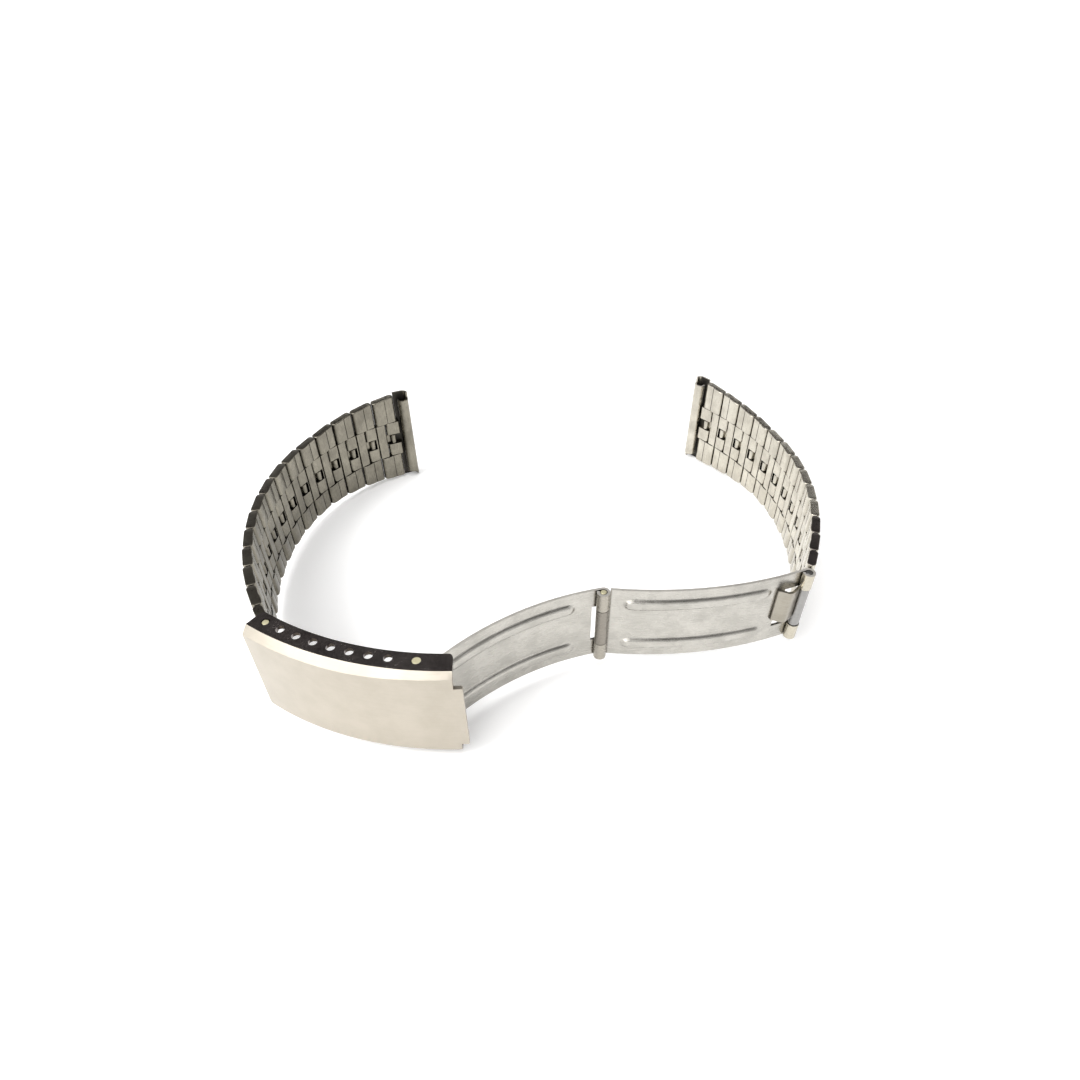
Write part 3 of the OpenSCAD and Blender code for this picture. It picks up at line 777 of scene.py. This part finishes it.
# %% The cover
# Radii are measured from the arc's centre, and runs along the arc from the hinge.
COVER_HALF = 9.3
COVER_WALL = 0.65
COVER_EASE = 0.06
GUTTER = 0.95
FLANGE_IN = 8.7
FACE_R = 52.85
BEVEL_IN = 51.75
BEVEL_AT = 8.0
FLANGE_R = 48.6
COVER_RUN = (-25.95, 5.05)
TONGUE_RUN = (5.05, 6.25)
TONGUE_HALF = 6.6
TONGUE_CORNER = 1.15
BEVEL_MIDDLE = -12.0
BEVEL_NARROWS = 0.6


def smooth(x):
    """A soft step from 0 to 1."""
    x = min(1, max(0, x))
    return x * x * (3 - 2 * x)


def spun(bm, geom, run, count):
    """Sweeps edges or faces along the cover's arc, by the length of a run."""
    bmesh.ops.spin(bm, geom=geom, cent=(0, HOLE_ARC, 0), axis=(0, 0, 1),
                   angle=(run[1] - run[0]) / HOLE_ARC, steps=count)


def swept(section, run, count):
    """A section, given as radius and height, swept along the cover's arc."""
    bm = bmesh.new()
    verts = [bm.verts.new((*on_hole_arc(run[0], radius).xy, z)) for radius, z in section]
    face = bm.faces.new(verts)
    spun(bm, [face, *face.edges, *face.verts], run, count)
    bmesh.ops.holes_fill(bm, edges=[e for e in bm.edges if e.is_boundary], sides=0)
    bmesh.ops.recalc_face_normals(bm, faces=bm.faces)
    return bm


def run_of(vert):
    """How far along the cover's arc a point is, as on_hole_arc counts it."""
    return HOLE_ARC * math.atan2(vert.co.x, HOLE_ARC - vert.co.y)


def radius_of(vert):
    return math.dist(vert.co.xy, (0, HOLE_ARC))


def on_bevel(vert):
    return radius_of(vert) > BEVEL_IN - 0.01 and abs(vert.co.z) > BEVEL_AT - 0.01


def cover_shell():
    """The channel with its bevels, and the thumb tongue at its hinge end."""
    wall_r = FACE_R - COVER_WALL
    inside = FLANGE_IN - GUTTER
    section = [
        (BEVEL_IN, COVER_HALF), (FACE_R, BEVEL_AT), (FACE_R, -BEVEL_AT),
        (BEVEL_IN, -COVER_HALF), (BEVEL_IN, -FLANGE_IN), (wall_r, -inside), (wall_r, inside),
        (BEVEL_IN, FLANGE_IN),
    ]
    shell = swept(section, COVER_RUN, 48)
    for vert in shell.verts:
        if abs(vert.co.z - BEVEL_AT) < 0.01:
            share = (run_of(vert) - BEVEL_MIDDLE) / (COVER_RUN[1] - BEVEL_MIDDLE)
            vert.co.z += BEVEL_NARROWS * smooth(share)
    crisp = [e for e in shell.edges
             if all(on_bevel(v) for v in e.verts)
             and abs(e.verts[0].co.z - e.verts[1].co.z) < 0.01]
    ease(shell, crisp, COVER_EASE, 2)
    tongue = swept([(FACE_R, TONGUE_HALF), (FACE_R, -TONGUE_HALF), (wall_r, -TONGUE_HALF),
                    (wall_r, TONGUE_HALF)], TONGUE_RUN, 6)
    corners = [e for e in tongue.edges
               if not runs_along(e, 2) and all(run_of(v) > TONGUE_RUN[1] - 0.005 for v in e.verts)]
    ease(tongue, corners, TONGUE_CORNER, 8)
    return joined(shell, tongue)


show_size("the channel", cover_shell())

# %% [markdown]
# The side plates have eight adjusting holes and one for the hinge. The outline and the
# circles are filled as one flat face and then extruded. That keeps the holes round and the
# plate flat, where booleans would leave slivers.


# %% The side plates
HOLE_R = 0.65
FLANGE_CORNER = 1.1


def flange():
    """A flat plate on the cover's arc, with the adjusting holes."""
    bm = bmesh.new()
    ends = [bm.verts.new((*on_hole_arc(COVER_RUN[0], radius).xy, FLANGE_IN))
            for radius in (FLANGE_R, BEVEL_IN)]
    edge = bm.edges.new(ends)
    spun(bm, [edge, *ends], COVER_RUN, 48)
    bmesh.ops.remove_doubles(bm, verts=bm.verts, dist=1e-4)
    bmesh.ops.dissolve_faces(bm, faces=bm.faces)
    corners = [v for v in bm.verts
               if radius_of(v) < FLANGE_R + 0.1
               and any(e.calc_length() > 2.5 for e in v.link_edges)]
    bmesh.ops.bevel(bm, geom=corners, offset=FLANGE_CORNER, offset_type="OFFSET", segments=6,
                    profile=0.5, affect="VERTICES", material=-1)
    bmesh.ops.delete(bm, geom=bm.faces[:], context="FACES_ONLY")
    for run in (*map(hole_run, range(HOLES)), 0):
        place = Matrix.Translation((*on_hole_arc(run).xy, FLANGE_IN))
        bmesh.ops.create_circle(bm, segments=24, radius=HOLE_R, matrix=place)
    bmesh.ops.triangle_fill(bm, use_beauty=True, use_dissolve=False, edges=bm.edges,
                            normal=(0, 0, 1))
    out = bmesh.ops.extrude_face_region(bm, geom=bm.faces[:])["geom"]
    lifted = [v for v in out if isinstance(v, bmesh.types.BMVert)]
    bmesh.ops.translate(bm, vec=(0, 0, COVER_HALF - FLANGE_IN), verts=lifted)
    bmesh.ops.recalc_face_normals(bm, faces=bm.faces)
    return bm


def flanges():
    """The upper plate and its mirror image."""
    plate = flange()
    return joined(plate.copy(), flipped(plate))


show_size("the side plates", flanges())

# %% [markdown]
# The blades are bright sheet. A tint round each hinge line blends another colour into
# their knuckles. It reads the distance from the hinge in Object coordinates. Painting the
# tints on a texture would need an unwrapped mesh.

# %% The blades' finish
SHEET = ((0.49, 0.473, 0.435), (0.37, 0.357, 0.327))
CUT_EDGE = ((0.55, 0.53, 0.49), (0.45, 0.43, 0.40))
KNUCKLE_BROWN = (0.245, 0.225, 0.195)
KNUCKLE_CREAM = (0.50, 0.465, 0.385)
KNUCKLE_TAN = (0.36, 0.335, 0.29)
KNUCKLE_TINT_R = 1.3 * MM


def blade_steel(name, *tints):
    """Bright sheet, with a tinted line at each given place."""
    tints = [(place.translation, KNUCKLE_TINT_R, colour) for place, colour in tints]
    return steel(name, *SHEET, 0.27, ALONG_SHEET, tints)


short_blade_finish = blade_steel("short blade sheet", (blade_2_frame, KNUCKLE_TAN))
long_blade_finish = blade_steel("long blade sheet", (blade_2_frame, KNUCKLE_BROWN),
                                (right_frames[0], KNUCKLE_CREAM))
cut_edge_finish = steel("sheared blade edge", *CUT_EDGE, 0.60, FINE_GRAIN)

print("blade finishes:", short_blade_finish.name, "and", long_blade_finish.name)

# %% [markdown]
# A blade is a strip with two pressed ribs, rolled into knuckles at both ends. A path takes
# the flat blank to the bent blade: a roll, a shallow curve and another roll. A rib adds to
# the curve's radius, with steep sides and a flat crest, so that its length and its height
# are two numbers. Sculpted ribs would start faster and be harder to change.

# %% The path of a blade
BLADE_HALF = 7.5
BLADE_T = 0.45
KNUCKLE_MID = 0.845
KNUCKLE_R = 1.12
KNUCKLE_ROLL = 300
ROLLED = math.radians(KNUCKLE_ROLL) * KNUCKLE_MID
RIB_AT = 4.5
RIB_H = 0.55
RIB_SLOPE = 0.8
RIB_HALF = 1.25
MIDDLE_KNUCKLE = 3.8
END_KNUCKLE = 4.3


def bow(length, radius, shift, side):
    """Centre of a blade's curve, which passes its two pins at the knuckles' radius."""
    first = radius + KNUCKLE_MID
    second = radius + shift * KNUCKLE_MID
    x = (first * first - second * second + length * length) / (2 * length)
    return Vector((x, side * math.sqrt(first * first - x * x), 0))


def angle_of(v):
    return math.atan2(v.y, v.x)


class BladePath:
    """The middle of a blade's sheet: a roll, a shallow curve and another roll."""

    def __init__(self, length, radius, shift, side, ways, ribs):
        """shift is 1 if the far pin is outside the curve and -1 if inside it.

        side is the sign of the centre's height, ways are the turns of the two rolls, and
        ribs says where the ribs start and end."""
        self.centre = bow(length, radius, shift, side)
        self.radius = radius
        far = Vector((length, 0, 0))
        self.pins = (Vector((0, 0, 0)), far)
        self.turns = (angle_of(-self.centre), angle_of(far - self.centre))
        self.length = radius * abs(self.turns[1] - self.turns[0])
        out = far - self.centre if shift < 0 else self.centre - far
        self.starts = (angle_of(self.centre), angle_of(out))
        self.ways = ways
        self.side = side
        self.ribs = ribs

    def rib(self, u, v):
        low, high = self.ribs
        past = max(low + RIB_HALF - u, u - high + RIB_HALF, 0)
        away = math.hypot(abs(v) - RIB_AT, past)
        return RIB_H * smooth((RIB_HALF - away) / RIB_SLOPE)

    def __call__(self, u, v):
        if 0 <= u <= self.length:
            share = u / self.length
            turn = self.turns[0] + (self.turns[1] - self.turns[0]) * share
            radius = self.radius + self.side * self.rib(u, v)
            return (*(self.centre + radius * Vector((math.cos(turn), math.sin(turn), 0))).xy, v)
        end = u > 0
        past = u - self.length if end else -u
        turn = self.starts[end] + self.ways[end] * past / KNUCKLE_MID
        place = self.pins[end] + KNUCKLE_MID * Vector((math.cos(turn), math.sin(turn), 0))
        return (*place.xy, v)


path_1 = BladePath(BLADE_1[0], 46.0, -1, -1, ways=(-1, -1), ribs=(4.3, 27.0))
path_2 = BladePath(BLADE_2[0], 65.0, 1, 1, ways=(1, -1), ribs=(3.3, 27.9))
RIB_LINES = (RIB_AT - RIB_HALF, RIB_AT + RIB_HALF)


def blade_lines(path, *stops):
    """Grid lines along a blade, closer in the rolls than between them."""
    u = lines(-ROLLED, 0, widest=0.2)
    u += lines(0, *stops, path.length, widest=0.4)[1:]
    return u + lines(path.length, path.length + ROLLED, widest=0.2)[1:]


def both(*stops):
    """Stops on both sides of the middle line."""
    return sorted({s for stop in stops for s in (stop, -stop)})


print("blank lengths:", round(path_1.length + 2 * ROLLED, 2), "and",
      round(path_2.length + 2 * ROLLED, 2), "mm")

# %% [markdown]
# The short blade hangs on the cover's pin. A slot between its first knuckles lets the strap
# through when the clasp shuts, and a gap at its far end takes the middle knuckle. Both are
# left out of the flat blank. The sheared edges are rougher than the faces, and lighter.


# %% The short blade
CATCH_SLOT = 3.6
SLOT_END = 2.4
KNUCKLE_PLAY = 0.12
MIDDLE_CLEAR = 0.5


def sheared(bm):
    """The two long edges of a blade, where the shears cut it, take the second finish."""
    bm.normal_update()
    for face in bm.faces:
        if abs(face.normal.z) > 0.9 and abs(face.calc_center_median().z) > BLADE_HALF - 0.01:
            face.material_index = 1
    return bm


def blade_1():
    """Two knuckles at the cover's pin and two at the middle one."""
    path = path_1
    gap = path.length - KNUCKLE_R - MIDDLE_CLEAR
    gap_half = MIDDLE_KNUCKLE + KNUCKLE_PLAY
    u = blade_lines(path, SLOT_END, gap)
    v = lines(*both(BLADE_HALF, *RIB_LINES, gap_half, CATCH_SLOT), widest=0.2)

    def keep(u, v):
        if u < SLOT_END:
            return abs(v) > CATCH_SLOT
        return u < gap or abs(v) > gap_half

    return sheared(blank(u, v, keep, path, BLADE_T))


show_size("the short blade", blade_1())

# %% [markdown]
# The long blade has the middle knuckle at one end and two knuckles at the other, with an
# open window before them for the half link. It is made as the short one is, from a blank
# of another outline.


# %% The long blade
SHOULDER = 1.05
WINDOW_LENGTH = 4.2
WINDOW_TOP = 2.4
END_CLEAR = 0.3
GAP_LENGTH = 2.0


def blade_2():
    """One knuckle at the middle pin and two at the end pin, with a window before them."""
    path = path_2
    window = path.length - WINDOW_LENGTH
    gap = path.length - KNUCKLE_R - END_CLEAR
    clear = gap - GAP_LENGTH
    u = blade_lines(path, SHOULDER, window, clear, gap)
    v = lines(*both(BLADE_HALF, *RIB_LINES, MIDDLE_KNUCKLE, END_KNUCKLE, WINDOW_TOP), widest=0.2)

    def keep(u, v):
        if u < SHOULDER:
            return abs(v) < MIDDLE_KNUCKLE
        if u > clear:
            return abs(v) > END_KNUCKLE
        return u < window or not -END_KNUCKLE < v < WINDOW_TOP

    return sheared(blank(u, v, keep, path, BLADE_T))


show_size("the long blade", blade_2())

# %% [markdown]
# The sprung strap snaps the clasp shut. It lies on the long blade's face, rises to a crest
# over the window and falls to a free lip. It follows the blade's path with a rise added, so
# that its foot lies flat on the blade without measuring.


# %% The catch strap
CATCH = (-2.1, 4.7)
CATCH_FOOT = 4.9
CATCH_CREST = 2.8
CATCH_LIP = 0.9
CATCH_LEVEL = 0.4
CATCH_RISE = 1.2
CATCH_FALL = 0.8
CATCH_AIR = 0.02


def catch():
    """The sprung strap on the blade's face: it rises to a crest and falls to a free lip."""
    ends = (CATCH_FOOT, CATCH_CREST, CATCH_LIP, CATCH_LEVEL)
    start, crest, end, level = (path_2.length - s for s in ends)

    def bend(u, v):
        x, y, z = path_2(min(u, path_2.length), v)
        up = smooth((u - start) / (crest - start))
        down = smooth((u - crest) / (level - crest))
        rise = CATCH_RISE * up * (1 - CATCH_FALL * down)
        return x, y - BLADE_T - CATCH_AIR - rise, z

    u = lines(start, end, widest=0.2)
    v = lines(*CATCH, widest=0.8)
    return blank(u, v, lambda u, v: True, bend, BLADE_T)


show_size("the strap", catch())

# %% [markdown]
# Every new piece goes into the scene the same way: its millimetres become the scene's
# metres, its faces are shaded smooth between their sharp edges, it rides on the body of
# the solid that it stands for, and that solid is hidden.

# %% Into the scene
CREASE = 32
SHEET_CREASE = 50


def placed(name, bm, place, finish, node, crease=CREASE):
    """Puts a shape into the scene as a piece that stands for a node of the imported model."""
    bmesh.ops.transform(bm, matrix=place, verts=bm.verts)
    bm.normal_update()
    for edge in bm.edges:
        edge.smooth = len(edge.link_faces) == 2 and edge.calc_face_angle(0) < math.radians(crease)
    for face in bm.faces:
        face.smooth = True
    loose = open_edges(bm)
    mesh = bpy.data.meshes.new(name)
    bm.to_mesh(mesh)
    bm.free()
    for each in finish if isinstance(finish, tuple) else (finish,):
        mesh.materials.append(each)
    piece = bpy.data.objects.new(name, mesh)
    bpy.context.scene.collection.objects.link(piece)
    piece.modifiers.new("normals", "WEIGHTED_NORMAL").keep_sharp = True
    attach(piece, BODY_OF[node])
    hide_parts(node)
    print(name, len(mesh.polygons), "faces,", loose, "open edges")
    return piece


# %% [markdown]
# Pins, tips and the spring bar's barrel are turned parts, and their solids have the right
# shape. They only lack the small broken edges that catch light. A copy has its doubles
# merged and a live Bevel modifier on its sharp edges, which is quicker than a new model.


# %% Turned parts with eased edges
PIN_BEVEL = 0.05 * MM
BARREL_BEVEL = 0.03 * MM
SHARP = 35


def eased(node, finish, width):
    """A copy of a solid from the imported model, with small bevels on its sharp edges."""
    bm = bmesh.new()
    bm.from_mesh(frame["nodes"][node].data)
    bmesh.ops.remove_doubles(bm, verts=bm.verts, dist=0.5e-6)
    bmesh.ops.dissolve_limit(bm, angle_limit=math.radians(1), verts=bm.verts, edges=bm.edges)
    piece = placed(node + "_eased", bm, Matrix.Identity(4), finish, node)
    bevel = piece.modifiers.new("eased", "BEVEL")
    bevel.width = width
    bevel.segments = 2
    bevel.limit_method = "ANGLE"
    bevel.angle_limit = math.radians(SHARP)
    return piece


print("bevels:", round(PIN_BEVEL / MM, 3), "mm on pins and", round(BARREL_BEVEL / MM, 3),
      "mm on the barrel")

# %% [markdown]
# Both bands are the same link in two finishes, the left one painted darker as shade. The left band
# has 14 links and the right 12.
# Instances of one mesh would be lighter, but the links differ in width, and each of them
# rides on its own body. On the right, the rolled end's rims are as light as the blades' edges.

# %% The bands
# Side, frames, links, finish, finish of ends painted dark as shade, links with those ends, and
# finish of rims.
BANDS = (
    ("left", left_frames, LEFT_LINKS, left_shaded_finish, left_ends_shade_finish, 10, left_shaded_finish),
    ("right", right_frames, RIGHT_LINKS, right_lit_finish, right_ends_shade_finish, 2, cut_edge_finish),
)
for side, frames, count, finish, shaded_ends, shaded_links, rim in BANDS:
    for j in range(1, count + 1):
        # The ends of the links nearest the clasp are painted dark as shade.
        ends = shaded_ends if j <= shaded_links else finish
        placed(f"{side}_folded_link_{j}", link(count + 1 - j), frames[j], (finish, ends),
               f"{side}_link_{j}")
    placed(f"{side}_rolled_end", end_piece(), frames[count + 1], (finish, shadowed_sheet_finish, rim),
           f"{side}_end_piece")

placed("left_half_link", connector(*LEFT_HALF_LINK, LEFT_START[0]), left_frames[0],
       (left_shaded_finish, left_ends_shade_finish), "left_connector")
placed("right_half_link", connector(*RIGHT_HALF_LINK, RIGHT_START[0]), right_frames[0],
       (right_lit_finish, right_ends_shade_finish), "right_connector")
placed("left_tube", connector_tube(LEFT_HALF_LINK[0]), left_frames[0], left_shaded_finish,
       "left_connector")
placed("right_tube", connector_tube(RIGHT_HALF_LINK[0]), right_frames[0], tube_finish,
       "right_connector")

# %% [markdown]
# The clasp's cover, its side plates and the blades ride on their bodies. The coil spring in
# the spring bar keeps its solid and takes a finish, as it is hidden inside the tube.

# %% The clasp
placed("clasp_channel", cover_shell(), cover_frame, cover_finish, "clasp_cover")
placed("clasp_side_plates", flanges(), cover_frame, shaded_flange_finish, "clasp_cover")
placed("short_pressed_blade", blade_1(), blade_1_frame, (short_blade_finish, cut_edge_finish),
       "blade_1", SHEET_CREASE)
placed("long_pressed_blade", blade_2(), blade_2_frame, (long_blade_finish, cut_edge_finish),
       "blade_2", SHEET_CREASE)
placed("catch_strap", catch(), blade_2_frame, catch_finish, "blade_2", SHEET_CREASE)
for node in ("cover_hinge_pin", "middle_hinge_pin", "spring_bar_upper_tip",
             "spring_bar_lower_tip"):
    eased(node, pin_finish, PIN_BEVEL)
eased("end_pin", tube_finish, PIN_BEVEL)
eased("spring_bar_barrel", tube_finish, BARREL_BEVEL)
coil = frame["nodes"]["spring_bar_spring"].data
coil.materials.clear()
coil.materials.append(tube_finish)
print(coil.name, "keeps its solid, with", len(coil.polygons), "faces")

# %% [markdown]
# Metal shows what it mirrors, so the studio is built for the mirror. The floor is white and
# brightens the upright faces from below. A bare white plane would go grey where the lights
# are weak, so it also glows a little.


# %% The floor
FLOOR_HALF = 3
FLOOR_GLOW = 0.20


def add_floor():
    """A pale floor that glows a little."""
    bm = bmesh.new()
    bmesh.ops.create_grid(bm, x_segments=1, y_segments=1, size=FLOOR_HALF)
    mesh = bpy.data.meshes.new("floor")
    bm.to_mesh(mesh)
    bm.free()
    finish = Finish("pale floor")
    grain = finish.noise((1, 1, 1), 30.0, 3.0)
    finish.put("Base Color", finish.blend(grain, (0.93, 0.93, 0.93), (0.96, 0.96, 0.96)))
    finish.put("Roughness", 0.9)
    finish.put("Emission Color", (1.0, 1.0, 1.0, 1.0))
    finish.put("Emission Strength", FLOOR_GLOW)
    mesh.materials.append(finish.material)
    floor = bpy.data.objects.new("floor", mesh)
    bpy.context.scene.collection.objects.link(floor)


add_floor()
print("floor:", 2 * FLOOR_HALF, "m wide")

# %% [markdown]
# A white band of wall brightens the upright faces too, and a dark ceiling makes the upward
# edges and side plates dark. Two broad suns and a lamp at the left give the soft key light
# and the gradient along the cover. A picture of a real studio would do as well, but this
# file reads no picture.


# %% The room and its lights
def add_world(stops):
    """Brightness of the room by height: each stop is the sine of an elevation and a colour."""
    world = bpy.data.worlds.new("studio")
    world.use_nodes = True
    tree = world.node_tree
    back = tree.nodes["Background"]
    place = tree.nodes.new("ShaderNodeTexCoord")
    split = tree.nodes.new("ShaderNodeSeparateXYZ")
    ramp = tree.nodes.new("ShaderNodeValToRGB")
    tree.links.new(place.outputs["Generated"], split.inputs[0])
    tree.links.new(split.outputs["Z"], ramp.inputs["Fac"])
    tree.links.new(ramp.outputs["Color"], back.inputs["Color"])
    while len(ramp.color_ramp.elements) < len(stops):
        ramp.color_ramp.elements.new(1.0)
    for element, (height, colour) in zip(ramp.color_ramp.elements, stops):
        element.position = height
        element.color = (*colour, 1)
    bpy.context.scene.world = world


def add_sun(name, towards, strength, spread):
    data = bpy.data.lights.new(name, "SUN")
    data.energy = strength
    data.angle = math.radians(spread)
    light = bpy.data.objects.new(name, data)
    light.rotation_euler = Vector(towards).to_track_quat("Z", "Y").to_euler()
    bpy.context.scene.collection.objects.link(light)


def add_lamp(name, place, power, size):
    data = bpy.data.lights.new(name, "AREA")
    data.shape = "DISK"
    data.size = size
    data.energy = power
    light = bpy.data.objects.new(name, data)
    light.location = place
    bpy.context.scene.collection.objects.link(light)


WHITE = (1.0, 1.0, 1.0)
DARK = (0.045, 0.038, 0.036)
add_world(((0.0, WHITE), (0.30, WHITE), (0.62, DARK), (1.0, DARK)))
add_sun("key", (-0.52, -0.64, 0.56), strength=2.2, spread=70)
add_sun("top", (-0.05, 0.05, 1.0), strength=1.6, spread=50)
add_lamp("left", (-0.28, -0.16, 0.30), power=1.3, size=0.25)
bpy.context.scene.view_settings.view_transform = "Standard"
print("lights:", [light.name for light in bpy.data.lights])
